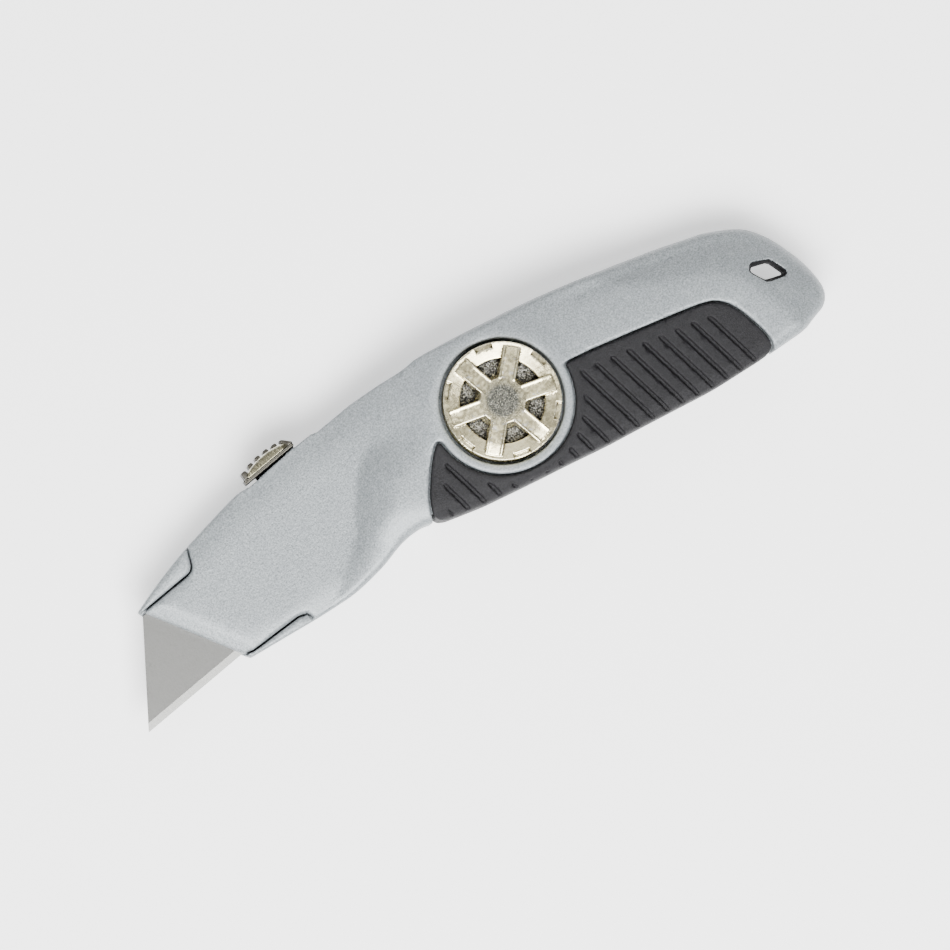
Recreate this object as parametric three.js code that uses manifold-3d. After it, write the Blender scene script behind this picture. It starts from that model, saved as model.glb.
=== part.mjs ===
// A retractable utility knife, lying on its back. Millimetres, +Z up.
// The origin is on the knob's axis, at the flat face the knife rests on.
// +X runs from the blade's tip to the tail, and +Y towards the thumb slide on the spine.
import * as THREE from 'three';
import { mergeVertices } from 'three/addons/utils/BufferGeometryUtils.js';
import Module from 'manifold-3d';

const wasm = await Module();
wasm.setup();

// Thicknesses, measured from the plane where the two halves meet
const HALF = 9.5;
const NOSE_HALF = 4.5;
const WALL = 1.8;
const FIT = 0.15;

// Blade: the standard trapezoid
const BLADE_LENGTH = 62;
const BLADE_BACK = 33.3;
const BLADE_WIDTH = 19;
const BLADE_THICKNESS = 0.6;
const BLADE_BEVEL = 1.5;
const BLADE_TIP_X = -98.85;
const BLADE_EDGE_Y = -5.3;
const BLADE_SLOPE = (BLADE_LENGTH - BLADE_BACK) / 2;
const NOTCH_SPACING = 10;
const NOTCH_WIDTH = 2.8;
const NOTCH_DEPTH = 2.4;
const TRAVEL = 27.5;

// Knob, stud and the stack on the stud
const KNOB_RADIUS = 12.35;
const SOCKET_RADIUS = 13;
const COLLAR_RADIUS = 14.8;
const SOCKET_FLOOR = 5.1;
const SOCKET_UNDERSIDE = 3.1;
const KNOB_TOP = 12.3;
const KNOB_BOTTOM = 5.6;
const SPOKES = 6;
const SPOKE_ANGLE = 100;
const WINDOW_INNER = 5.6;
const WINDOW_OUTER = 9.3;
const STUD_RADIUS = 3;
const STUD_TOP = 8.4;
const STUD_BOTTOM = -6.3;
const NUT_ACROSS_FLATS = 10;
const NUT_TOP = -2.5;
const NUT_HEIGHT = 5;
const CLIP_TOP = -1;
const CLIP_THICKNESS = 0.6;
const BOSS_RADIUS = 7.3;

// Slide button and carrier
const BUTTON_X = -44.5;
const BUTTON_LENGTH = 13;
const BUTTON_HALF = 4.2;
const SKIRT_HALF = 3.2;
const BUTTON_BASE_Y = 20.6;
const BUTTON_WIDE_Y = 21.2;
const BUTTON_TOP_Y = 23.9;
const TRACK_FLOOR_Y = 19.7;
const STEM_LENGTH = 7;
const STEM_WIDTH = 3.2;
const STEM_FOOT_Y = 11.8;
const POCKET_FLOOR_Y = 8.6;
const RIBS = 5;
const RIB_PITCH = 2.05;
const CARRIER_TOP_Y = 15.4;
const CARRIER_HALF = 2.6;
const CHANNEL_TOP_Y = 17.2;
const SLOT_START = -52;
const SLOT_END = -10;
const DETENTS = 4;

// Grip
const GRIP_DEPTH = 1.9;
const GROOVE_WIDTH = 1.1;
const GROOVE_DEPTH = 0.8;
const GROOVE_LEAN = 7;

// Spare blades, stacked in the handle
const SPARES = 5;
const SPARE_PITCH = 0.7;
const SPARE_CORNER = [-1.3, -13.3];
const SPARE_ANGLE = -11.3;
const SPARE_LOWEST = -4.4;

const MATERIALS = {
  paint: [0xbcc0c0, 0.42, 0.55],
  rubber: [0x3c3c3f, 0.85, 0],
  knob: [0xc8c3b2, 0.35, 0.9],
  slide: [0x7b7b73, 0.45, 0.8],
  blade: [0xabaca9, 0.28, 1],
  steel: [0xb4b4b0, 0.35, 1],
  carrier: [0x2b2b2d, 0.6, 0],
  magazine: [0xb9a13a, 0.6, 0],
};

const point = ([x, y]) => new THREE.Vector2(x, y);

// A closed geometry becomes a solid that can be joined and cut.
function solid(geometry) {
  geometry.deleteAttribute('normal');
  geometry.deleteAttribute('uv');
  const merged = mergeVertices(geometry, 1e-4);
  const corners = merged.index.array;
  const kept = [];
  for (let i = 0; i < corners.length; i += 3) {
    const [a, b, c] = corners.slice(i, i + 3);
    if (a !== b && b !== c && c !== a) kept.push(a, b, c);
  }
  const mesh = new wasm.Mesh({
    numProp: 3,
    vertProperties: merged.attributes.position.array,
    triVerts: new Uint32Array(kept),
  });
  return new wasm.Manifold(mesh);
}

// A solid becomes a geometry. side 1 is the front half and -1 mirrors it into the rear half.
function geometryOf(body, side = 1) {
  const mesh = body.getMesh();
  const vertices = Float32Array.from(mesh.vertProperties);
  const triangles = Array.from(mesh.triVerts);
  for (let i = 2; i < vertices.length; i += 3) vertices[i] = HALF + side * vertices[i];
  if (side < 0) triangles.reverse();
  const geometry = new THREE.BufferGeometry();
  geometry.setAttribute('position', new THREE.BufferAttribute(vertices, 3));
  geometry.setIndex(triangles);
  geometry.computeVertexNormals();
  return geometry;
}

// Heights below are all counted from the parting plane, towards the half's outer face.
function prism(shape, low, high) {
  const geometry = new THREE.ExtrudeGeometry(shape, {
    depth: high - low,
    bevelEnabled: false,
    curveSegments: 6,
  });
  return solid(geometry.translate(0, 0, low));
}

function box(x, y, z) {
  const geometry = new THREE.BoxGeometry(x[1] - x[0], y[1] - y[0], z[1] - z[0]);
  return solid(geometry.translate((x[0] + x[1]) / 2, (y[0] + y[1]) / 2, (z[0] + z[1]) / 2));
}

// A slab whose top edge is rounded over
function crown(shape, low, high, round) {
  const geometry = new THREE.ExtrudeGeometry(shape, {
    depth: high - low,
    bevelSize: round,
    bevelOffset: -round,
    bevelThickness: round,
    bevelSegments: 2,
    curveSegments: 6,
  });
  const slab = solid(geometry.translate(0, 0, low - round));
  return slab.intersect(box([-200, 200], [-200, 200], [low, high + 1]));
}

function disc(radius, low, high, segments = 48) {
  const geometry = new THREE.CylinderGeometry(radius, radius, high - low, segments);
  return solid(geometry.rotateX(Math.PI / 2).translate(0, 0, (low + high) / 2));
}

// A section in X and Z, run across the whole width.
function across(points, low = -40, high = 40) {
  const shape = new THREE.Shape(points.map(([x, z]) => new THREE.Vector2(x, -z)));
  const geometry = new THREE.ExtrudeGeometry(shape, { depth: high - low, bevelEnabled: false });
  return solid(geometry.translate(0, 0, low).rotateX(-Math.PI / 2));
}

function polygon(points) {
  return new THREE.Shape(points.map(point));
}

// The spine, from the front of the upper lip to the tail's lower corner
const SPINE = [
  [-78.2, 16.8], [-68.2, 18.8], [-58.2, 20], [-44, 20.2], [-33.2, 20.1], [-18.2, 19.1], [-3.2, 17.3],
  [6.8, 15.1], [21.8, 11.3], [41.8, 4.9], [56, -0.7], [61.8, -4.7], [64.8, -9], [66.5, -15],
  [67.1, -21], [66.3, -25.4], [63.5, -27.5], [57.5, -28.9],
];

function spine(shape) {
  shape.splineThru(SPINE.map(point));
}

// The belly under the grip, from the tail to the finger notch
const BELLY = [[49.8, -28.3], [31.8, -25], [11.8, -21.1], [-8.2, -16.2], [-25.4, -10.7]];

function gripBelly(shape, raise = 0) {
  const raised = BELLY.map(([x, y]) => new THREE.Vector2(x, y + raise));
  const start = shape.currentPoint;
  shape.splineThru(start.distanceTo(raised[0]) < 0.1 ? raised.slice(1) : raised);
}

// Outline of the whole knife body, and of the rear half
function bodyOutline() {
  const shape = new THREE.Shape();
  shape.moveTo(-84.5, 15.1);
  spine(shape);
  gripBelly(shape);
  shape.splineThru([[-31.2, -9], [-40.2, -10.3], [-47.2, -10.8], [-58.2, -9.6]].map(point));
  shape.lineTo(-72.6, -7.2);
  shape.lineTo(-84.2, 13.6);
  return shape;
}

// The rear half's lips wrap round the nose above and below the front half's plate.
function upperLip(gap) {
  const shape = new THREE.Shape();
  shape.moveTo(-90, 14.2 - gap);
  shape.lineTo(-71.8, 14.2 - gap);
  shape.quadraticCurveTo(-68.6 + gap, 14.4, -68 + gap, 22);
  shape.lineTo(-90, 22);
  return prism(shape, -HALF, HALF);
}

function lowerLip(gap) {
  const shape = polygon([
    [-80, -6.1 + gap], [-73, -6.1 + gap], [-60.3, -7.1 + gap], [-58.2 + gap, -8.2], [-58 + gap, -14],
    [-80, -14],
  ]);
  return prism(shape, -HALF, HALF);
}

// The handle swells out of the thin nose plate along an S-shaped crease.
function handleOutline() {
  const shape = new THREE.Shape();
  shape.moveTo(-54, -10.3);
  shape.splineThru([
    [-47.5, -6.8], [-41, -2.6], [-37, 3.1], [-32, 8.6], [-26, 11.8], [-16, 15.2], [-6, 17.8],
  ].map(point));
  shape.splineThru(SPINE.slice(6).map(point));
  gripBelly(shape);
  shape.splineThru([[-31.2, -9], [-40.2, -10.3], [-47.2, -10.8]].map(point));
  return shape;
}

// Outline of the rubber, before the collar is cut out of it.
// `grow` is for the recess it sits in, which also runs out past the belly.
function gripOutline(grow = 0) {
  const shape = new THREE.Shape();
  const out = -10 * grow;
  shape.moveTo(-12, 2 + grow);
  shape.lineTo(14.6, -2.2 + grow);
  shape.quadraticCurveTo(16, -2.1 + grow, 21, -3.6 + grow);
  shape.lineTo(44, -10.8 + grow);
  shape.quadraticCurveTo(49.4 + grow, -13, 50.6 + grow, -21);
  shape.quadraticCurveTo(51.2 + grow, -28.2 + out, 49.8, -28.3 + out);
  gripBelly(shape, out);
  shape.lineTo(-26.6 - grow, -10.2 + out);
  shape.lineTo(-26.6 - grow, -9.7);
  shape.quadraticCurveTo(-24.5 - grow, -5, -16.6 - grow, 1.6 + grow);
  return shape;
}

// Everything more than `depth` inside the belly
function insideBelly(depth) {
  const shape = new THREE.Shape();
  shape.moveTo(-60, 40);
  shape.lineTo(80, 40);
  shape.lineTo(80, -28.3 + depth);
  gripBelly(shape, depth);
  shape.lineTo(-60, -8 + depth);
  return shape;
}

function lanyardHole(grow) {
  const centre = point([59.9, -14.7]);
  const corners = [[57.4, -11.1], [61.9, -13], [62.8, -17.4], [62, -18.2], [58.2, -16.5], [56.8, -11.9]];
  const grown = corners.map(point).map((corner) => {
    const out = corner.clone().sub(centre);
    return corner.add(out.setLength(grow));
  });
  return prism(new THREE.Shape(grown), -HALF, HALF + 1);
}

// Seen from the side, the casting is thickest at the knob and falls away to the tail.
function underCrown(rise) {
  return across([
    [-90, -HALF], [80, -HALF], [80, 7.3 + rise], [67, 7.6 + rise], [30, 8.7 + rise], [10, 9 + rise],
    [-12, 9 + rise], [-28, 8.6 + rise], [-60, 7.2 + rise], [-90, 6 + rise],
  ]);
}

// What a bevel takes off a slab's top edge that runs from `start` to `end`, with the slab on its left.
// It reaches `run` in from the edge and `fall` down from the top, at `high`.
function edgeBevel(start, end, high, run, fall) {
  const along = point(end).sub(point(start));
  const section = [[-4 * run, high - 5 * fall], [run, high], [run, high + 3], [-4 * run, high + 3]];
  const wedge = across(section, -60, 60);
  const inwards = THREE.MathUtils.radToDeg(Math.atan2(along.x, -along.y));
  return wedge.rotate([0, 0, inwards]).translate([...start, 0]);
}

// The handle's long edges are bevelled along the spine and round the tail.
function handleBevels() {
  return edgeBevel([21.8, 11.3], [-3.2, 17.3], HALF, 4.6, 4)
    .add(edgeBevel([56, -0.7], [21.8, 11.3], HALF, 5, 4.6))
    .add(edgeBevel([66.5, -15], [61.8, -4.7], HALF, 4, 4.4));
}

// The rubber is bevelled along the belly.
function bellyBevels() {
  return edgeBevel([-8.2, -16.2], [31.8, -25], HALF, 2.4, 2.4)
    .add(edgeBevel([31.8, -25], [49.8, -28.3], HALF, 2.4, 2.6))
    .add(edgeBevel([-25.4, -10.7], [-8.2, -16.2], HALF, 2.4, 2.6));
}

// Space for the carrier to slide in, and for the blade ahead of it
function channel(start) {
  const shape = polygon([
    [start, 7.6], [start, 13.7], [-62, 13.7], [-62, CHANNEL_TOP_Y], [-14, CHANNEL_TOP_Y], [-4, 15.7],
    [-4, 5], [-60, 5],
  ]);
  const blade = polygon([
    [-100, BLADE_EDGE_Y - FIT], [-100, 14], [-23.4, 14], [-8.9, BLADE_EDGE_Y - FIT],
  ]);
  return prism(shape, -1, CARRIER_HALF + 0.3).add(prism(blade, -1, 0.5));
}

// The slot in the spine, its shallow track and the notches the button's lugs rest under
function spineSlot() {
  let cut = box([SLOT_START, SLOT_END], [15, 30], [-1, STEM_WIDTH / 2 + 0.3]);
  cut = cut.add(box([SLOT_START, SLOT_END], [TRACK_FLOOR_Y, 30], [-1, SKIRT_HALF + 0.2]));
  for (let i = 0; i < DETENTS; i += 1) {
    const x = BUTTON_X + (i * TRAVEL) / (DETENTS - 1);
    cut = cut.add(box([x - 1.7, x + 1.7], [CHANNEL_TOP_Y - 0.1, CHANNEL_TOP_Y + 0.9], [-1, CARRIER_HALF]));
  }
  return cut;
}

// The hollow handle, leaving the walls, the socket's floor and the tube round the lanyard hole
function handleHollow() {
  const shape = new THREE.Shape();
  shape.moveTo(-21, 4);
  shape.splineThru([
    [-19, -6], [-8.2, -12.5], [11.8, -17.4], [31.8, -21.3], [49.8, -24.6], [57, -26.9], [62.5, -25.7],
    [65, -21], [64.6, -15], [62.6, -8.6], [54, -2.3], [41, 2.8], [21, 9.2], [6, 13], [-4, 15],
    [-12, 15.8], [-19, 12], [-21, 4],
  ].map(point));
  return prism(shape, -1, 5.7).subtract(lanyardHole(WALL));
}

// Casting of one half before its hollows are cut
function halfBlock() {
  const plate = crown(bodyOutline(), 0, NOSE_HALF, 1);
  const handle = prism(handleOutline(), 0, HALF).subtract(handleBevels()).intersect(underCrown(0));
  const rubberRecess = prism(gripOutline(FIT), -1, HALF + 1)
    .subtract(prism(insideBelly(GRIP_DEPTH), -2, HALF - GRIP_DEPTH));
  const collar = disc(COLLAR_RADIUS, 0, HALF).intersect(prism(bodyOutline(), 0, HALF));
  const noseBevel = edgeBevel([-83.9, 13.3], [-73.4, -5.9], NOSE_HALF, 3, 1.9)
    .intersect(box([-95, -66], [-12, 18], [0, HALF]));
  return plate.add(handle)
    .subtract(rubberRecess)
    .add(collar)
    .subtract(noseBevel)
    .subtract(lanyardHole(0));
}

function frontShell() {
  return halfBlock()
    .subtract(upperLip(0.35))
    .subtract(lowerLip(0.35))
    .subtract(channel(-64))
    .subtract(spineSlot())
    .subtract(handleHollow().subtract(disc(COLLAR_RADIUS, SOCKET_UNDERSIDE, HALF)))
    .subtract(disc(SOCKET_RADIUS, SOCKET_FLOOR, HALF + 1))
    .subtract(disc(STUD_RADIUS + 0.4, -1, HALF));
}

function rearShell() {
  const lips = prism(bodyOutline(), -3.6, 0.1).intersect(upperLip(0).add(lowerLip(0)));
  const boss = disc(BOSS_RADIUS, -NUT_TOP, HALF - WALL);
  return halfBlock()
    .add(lips)
    .subtract(channel(-76))
    .subtract(spineSlot())
    .subtract(handleHollow().subtract(boss))
    .subtract(nutPrism(NUT_ACROSS_FLATS + 2 * FIT, -NUT_TOP - 0.1, -NUT_TOP + NUT_HEIGHT));
}

// Rubber inlay, wrapped over the belly, with slanted grooves
function grip() {
  const field = polygon([
    [-23, -30], [-23, -6], [-18.5, -2.2], [-14, -2.2], [0, -8], [15, -4.8], [44, -13.6], [46.5, -20],
    [46.5, -30],
  ]);
  const grooves = grooveBars()
    .intersect(prism(field, 0, HALF + 1))
    .intersect(prism(insideBelly(1.3), 0, HALF + 1))
    .subtract(disc(COLLAR_RADIUS + 1.8, 0, HALF + 1))
    .subtract(underCrown(0.5 - GROOVE_DEPTH));
  return prism(gripOutline(), 0.05, HALF)
    .intersect(crown(bodyOutline(), 0, HALF, 1))
    .intersect(underCrown(0.5))
    .subtract(bellyBevels())
    .subtract(disc(COLLAR_RADIUS + FIT, -1, HALF + 1))
    .subtract(prism(insideBelly(GRIP_DEPTH - FIT), -2, HALF - GRIP_DEPTH + FIT))
    .subtract(grooves);
}

function grooveBars() {
  const pitch = 3.42;
  let bars = null;
  for (let x = -21; x < 48; x += pitch) {
    const bar = box([-GROOVE_WIDTH / 2, GROOVE_WIDTH / 2], [-40, 10], [0, HALF + 1]);
    const placed = bar.translate([0, 12, 0]).rotate([0, 0, GROOVE_LEAN]).translate([x, -12, 0]);
    bars = bars ? bars.add(placed) : placed;
  }
  return bars;
}

function nutPrism(acrossFlats, low, high) {
  return disc(acrossFlats / 2 / Math.cos(Math.PI / 6), low, high, 6);
}

// Cast knob with six spokes, and a blind hole for the head of its stud
function knob() {
  const profile = [
    [0, KNOB_BOTTOM], [KNOB_RADIUS - 1, KNOB_BOTTOM], [KNOB_RADIUS, KNOB_BOTTOM + 1],
    [KNOB_RADIUS, KNOB_TOP - 1.8], [KNOB_RADIUS - 0.5, KNOB_TOP - 0.8], [KNOB_RADIUS - 1.8, KNOB_TOP - 0.1],
    [WINDOW_OUTER + 0.4, KNOB_TOP], [0, KNOB_TOP],
  ];
  const body = solid(new THREE.LatheGeometry(profile.map(point), 48).rotateX(Math.PI / 2));
  let windows = disc(WINDOW_OUTER, KNOB_TOP - 3.6, HALF + 4).subtract(disc(WINDOW_INNER, 0, HALF + 5, 24));
  for (let i = 0; i < SPOKES; i += 1) {
    const spoke = box([0, KNOB_RADIUS], [-1.8, 1.8], [0, HALF + 5]);
    windows = windows.subtract(spoke.rotate([0, 0, SPOKE_ANGLE + (i * 360) / SPOKES]));
  }
  return body.subtract(windows).subtract(disc(STUD_RADIUS + 0.05, 0, STUD_TOP + 0.05, 32));
}

function knobScrew() {
  const groove = disc(STUD_RADIUS + 1, CLIP_TOP - CLIP_THICKNESS - 0.05, CLIP_TOP + 0.05)
    .subtract(disc(STUD_RADIUS - 0.6, -HALF, HALF, 32));
  return disc(STUD_RADIUS, STUD_BOTTOM, STUD_TOP, 32).subtract(groove);
}

function knobWasher() {
  return disc(8, SOCKET_FLOOR + 0.05, KNOB_BOTTOM - 0.05).subtract(disc(STUD_RADIUS + 0.3, 0, HALF, 32));
}

// E-clip in the stud's groove, open on one side
function retainingClip() {
  const ring = disc(4.8, CLIP_TOP - CLIP_THICKNESS, CLIP_TOP);
  const mouth = box([0, 6], [-2.3, 2.3], [-HALF, HALF]);
  return ring.subtract(disc(STUD_RADIUS - 0.5, -HALF, HALF, 32)).subtract(mouth);
}

function captiveNut() {
  const thread = disc(STUD_RADIUS + 0.08, -HALF, HALF, 32);
  return nutPrism(NUT_ACROSS_FLATS, NUT_TOP - NUT_HEIGHT + 0.1, NUT_TOP).subtract(thread);
}

// A blade, long edge along +X from the origin, ground to an edge on y = 0
function bladeSolid() {
  const backEnd = BLADE_LENGTH - BLADE_SLOPE;
  const outline = polygon([[0, 0], [BLADE_LENGTH, 0], [backEnd, BLADE_WIDTH], [BLADE_SLOPE, BLADE_WIDTH]]);
  let plate = prism(outline, -BLADE_THICKNESS / 2, BLADE_THICKNESS / 2);
  const section = polygon([
    [-0.02, 0], [0.02, 0], [BLADE_THICKNESS / 2, BLADE_BEVEL], [BLADE_THICKNESS / 2, 30],
    [-BLADE_THICKNESS / 2, 30], [-BLADE_THICKNESS / 2, BLADE_BEVEL],
  ]);
  const length = new THREE.ExtrudeGeometry(section, { depth: BLADE_LENGTH, bevelEnabled: false });
  plate = plate.intersect(solid(length.rotateY(-Math.PI / 2).translate(BLADE_LENGTH, 0, 0)));
  for (const side of [-0.5, 0.5]) {
    plate = plate.subtract(bladeNotch(BLADE_LENGTH / 2 + side * NOTCH_SPACING));
  }
  return plate;
}

function bladeNotch(x) {
  const half = NOTCH_WIDTH / 2;
  return box([x - half, x + half], [BLADE_WIDTH - NOTCH_DEPTH, BLADE_WIDTH + 1], [-1, 1]);
}

function blade() {
  return bladeSolid().translate([BLADE_TIP_X, BLADE_EDGE_Y, 0]);
}

function spareBlade(index) {
  const height = SPARE_LOWEST + index * SPARE_PITCH;
  return bladeSolid().rotate([0, 0, SPARE_ANGLE]).translate([...SPARE_CORNER, height]);
}

// Sliding block: a plate under the blade with two pegs, and a pocket for the button's stem
function bladeCarrier() {
  const backY = BLADE_EDGE_Y + BLADE_WIDTH;
  const bladeEnd = BLADE_TIP_X + BLADE_LENGTH - BLADE_SLOPE;
  const plate = box([-74.6, -33], [8, backY - 0.3], [-CARRIER_HALF, -0.4]);
  const block = prism(polygon([
    [-60, backY + 0.3], [bladeEnd + 0.3, backY + 0.3], [bladeEnd + 6.2, 6], [-33, 6], [-33, CARRIER_TOP_Y],
    [-60, CARRIER_TOP_Y],
  ]), -CARRIER_HALF, CARRIER_HALF);
  let body = plate.add(block);
  for (const side of [-0.5, 0.5]) {
    const x = BLADE_TIP_X + BLADE_LENGTH / 2 + side * NOTCH_SPACING;
    body = body.add(box([x - 1.2, x + 1.2], [backY - NOTCH_DEPTH + 0.2, backY - 0.3], [-0.5, 0.42]));
  }
  const pocket = box(
    [BUTTON_X - STEM_LENGTH / 2 - 0.2, BUTTON_X + STEM_LENGTH / 2 + 0.2],
    [POCKET_FLOOR_Y, 20],
    [-STEM_WIDTH / 2 - 0.2, STEM_WIDTH / 2 + 0.2],
  );
  return body.subtract(pocket).subtract(magnetDisc(0.1));
}

function magnetDisc(grow) {
  return disc(2.2 + grow, -1.9 - grow, -0.4, 32).translate([-67.85, 10.7, 0]);
}

// Thumb slide: ribbed cap, skirt in the track, stem in the carrier and two lugs under the slot's edges
function slideButton() {
  const front = BUTTON_X - BUTTON_LENGTH / 2;
  const back = BUTTON_X + BUTTON_LENGTH / 2;
  const shape = new THREE.Shape();
  shape.moveTo(back, BUTTON_BASE_Y);
  shape.lineTo(back - 0.3, BUTTON_TOP_Y - 0.9);
  for (let i = RIBS - 1; i >= 0; i -= 1) {
    const x = BUTTON_X + (i - (RIBS - 1) / 2) * RIB_PITCH;
    const top = BUTTON_TOP_Y - 0.08 * (i - 2) ** 2;
    shape.lineTo(x + RIB_PITCH / 2, top - 0.6);
    shape.quadraticCurveTo(x + 0.5, top + 0.05, x, top);
    shape.quadraticCurveTo(x - 0.5, top + 0.05, x - RIB_PITCH / 2, top - 0.6);
  }
  shape.lineTo(front + 0.3, BUTTON_TOP_Y - 1);
  shape.lineTo(front, BUTTON_BASE_Y);
  const cap = prism(shape, -BUTTON_HALF, BUTTON_HALF);
  const room = box([-60, -30], [BUTTON_WIDE_Y, 30], [-HALF, HALF])
    .add(box([-60, -30], [0, 30], [-SKIRT_HALF, SKIRT_HALF]));
  const stem = box(
    [BUTTON_X - STEM_LENGTH / 2, BUTTON_X + STEM_LENGTH / 2],
    [STEM_FOOT_Y, BUTTON_BASE_Y + 0.5],
    [-STEM_WIDTH / 2, STEM_WIDTH / 2],
  );
  const lugs = box([BUTTON_X - 1.5, BUTTON_X + 1.5], [16.3, CHANNEL_TOP_Y - 0.2], [-2.5, 2.5]);
  return cap.intersect(room).add(stem).add(lugs);
}

// Bent leaf under the stem
function buttonSpring() {
  const left = BUTTON_X - 3;
  const right = BUTTON_X + 3;
  const low = POCKET_FLOOR_Y + 0.05;
  const high = STEM_FOOT_Y - 0.05;
  const shape = polygon([
    [left, low], [left + 0.6, low], [BUTTON_X, high - 0.35], [right - 0.6, low], [right, low],
    [BUTTON_X + 0.3, high], [BUTTON_X - 0.3, high],
  ]);
  return prism(shape, -1.4, 1.4);
}

// Tray under the spare blades, with rims along their back and one end
function bladeMagazine() {
  const tray = polygon([[0, 0], [BLADE_LENGTH, 0], [BLADE_LENGTH - BLADE_SLOPE + 1, BLADE_WIDTH + 1.4],
    [BLADE_SLOPE - 1, BLADE_WIDTH + 1.4]]);
  const room = polygon([[-2, -2], [BLADE_LENGTH + 3, -2], [BLADE_LENGTH - BLADE_SLOPE + 3, BLADE_WIDTH + 0.2],
    [BLADE_SLOPE - 3, BLADE_WIDTH + 0.2]]);
  const floor = SPARE_LOWEST - BLADE_THICKNESS / 2 - 0.1;
  const body = prism(tray, floor - 0.8, floor + SPARES * SPARE_PITCH).subtract(prism(room, floor, HALF));
  return body.rotate([0, 0, SPARE_ANGLE]).translate([...SPARE_CORNER, 0]);
}

// Bowed leaf that presses on the top spare blade
function magazineSpring() {
  const top = SPARE_LOWEST + (SPARES - 1) * SPARE_PITCH + BLADE_THICKNESS / 2 + 0.1;
  const leaf = [[16, 3], [22, 1.1], [31, 0], [40, 1.1], [46, 3]];
  const upper = leaf.map(([x, z]) => [x, top + z + 0.35]);
  const lower = leaf.map(([x, z]) => [x, top + z]).reverse();
  const strip = across([...upper, ...lower], 7, 13);
  return strip.rotate([0, 0, SPARE_ANGLE]).translate([...SPARE_CORNER, 0]);
}

const group = new THREE.Group();

function addPiece(name, body, material, side = 1) {
  const [color, roughness, metalness] = MATERIALS[material];
  const surface = new THREE.MeshStandardMaterial({ color, roughness, metalness });
  const mesh = new THREE.Mesh(geometryOf(body, side), surface);
  mesh.name = name;
  group.add(mesh);
}

addPiece('front_shell', frontShell(), 'paint');
addPiece('rear_shell', rearShell(), 'paint', -1);
addPiece('front_grip', grip(), 'rubber');
addPiece('rear_grip', grip(), 'rubber', -1);
addPiece('lock_knob', knob(), 'knob');
addPiece('knob_screw', knobScrew(), 'steel');
addPiece('knob_washer', knobWasher(), 'steel');
addPiece('retaining_clip', retainingClip(), 'steel');
addPiece('captive_nut', captiveNut(), 'steel');
addPiece('slide_button', slideButton(), 'slide');
addPiece('button_spring', buttonSpring(), 'steel');
addPiece('blade_carrier', bladeCarrier(), 'carrier');
addPiece('blade_magnet', magnetDisc(0), 'steel');
addPiece('blade', blade(), 'blade');
addPiece('blade_magazine', bladeMagazine(), 'magazine');
addPiece('magazine_spring', magazineSpring(), 'steel');
for (let i = 0; i < SPARES; i += 1) {
  addPiece(`spare_blade_${i + 1}`, spareBlade(i), 'blade');
}

export default group;
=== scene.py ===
"""The looks of a retractable utility knife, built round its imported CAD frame.

Shapes are worked out in millimetres in the part's frame, as signed distances on a grid, negative inside the
solid. They become meshes in metres. Heights are counted outwards from the plane where the two halves meet.
"""

import math

import bpy
import numpy as np
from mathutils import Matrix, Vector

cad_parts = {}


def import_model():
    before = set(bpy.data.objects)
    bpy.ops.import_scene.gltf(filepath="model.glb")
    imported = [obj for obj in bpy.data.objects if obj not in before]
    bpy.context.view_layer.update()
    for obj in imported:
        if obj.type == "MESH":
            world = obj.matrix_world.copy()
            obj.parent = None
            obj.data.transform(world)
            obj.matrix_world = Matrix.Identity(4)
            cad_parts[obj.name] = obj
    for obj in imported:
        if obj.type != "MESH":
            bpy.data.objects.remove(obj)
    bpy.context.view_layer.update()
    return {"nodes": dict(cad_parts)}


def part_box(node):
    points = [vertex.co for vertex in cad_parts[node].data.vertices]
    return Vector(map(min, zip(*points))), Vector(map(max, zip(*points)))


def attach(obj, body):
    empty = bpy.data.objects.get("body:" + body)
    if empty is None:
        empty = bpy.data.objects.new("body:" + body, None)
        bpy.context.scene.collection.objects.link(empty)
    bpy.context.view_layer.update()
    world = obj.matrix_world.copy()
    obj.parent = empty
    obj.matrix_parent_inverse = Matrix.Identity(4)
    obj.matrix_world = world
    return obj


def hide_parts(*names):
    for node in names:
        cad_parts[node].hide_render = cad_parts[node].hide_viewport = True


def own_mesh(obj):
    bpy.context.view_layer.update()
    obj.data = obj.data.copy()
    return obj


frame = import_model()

import openvdb
from mathutils import Matrix, Vector

MM = 0.001

# Thicknesses
PARTING_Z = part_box("front_shell")[0].z / MM
HALF = 9.5
NOSE_HALF = 4.5
LIP_RISE = 4.3
WALL = 1.8
SEAM_ROUND = 0.2
SHELL_STEP = 0.3

# Nose
NOSE_TOP = (-83.4, 13.2)
NOSE_FOOT = (-73.5, -5.9)
CHAMFER_RUN = 3.0
CHAMFER_FALL = 1.3
SLIT = 0.4

# Handle
CROWN = 9.2
CROWN_FALL = 0.0003
STEP_WIDTH = 10.5
BELLY_STEP_EXTRA = 8.0
SPINE_SLOPE = 0.27
SPINE_CURVE = 15.0
SPINE_LINE = (2.0, -0.3)
SPINE_FADE = 14.0
CREASE_INSET = 4.0
CREASE_DROP = 0.65
BORDER_SLOPE = 0.03
TAIL_SLOPE = 0.36
DROOP = 0.6
DROOP_WIDTH = 4.5
EDGE_ROUND = 0.8
NOTCH_ROUND_EXTRA = 1.0
TAIL_ROUND_EXTRA = 0.7
SLOT_ROUND_LESS = 0.45
NOSE_ROUND_LESS = 0.45

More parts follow.
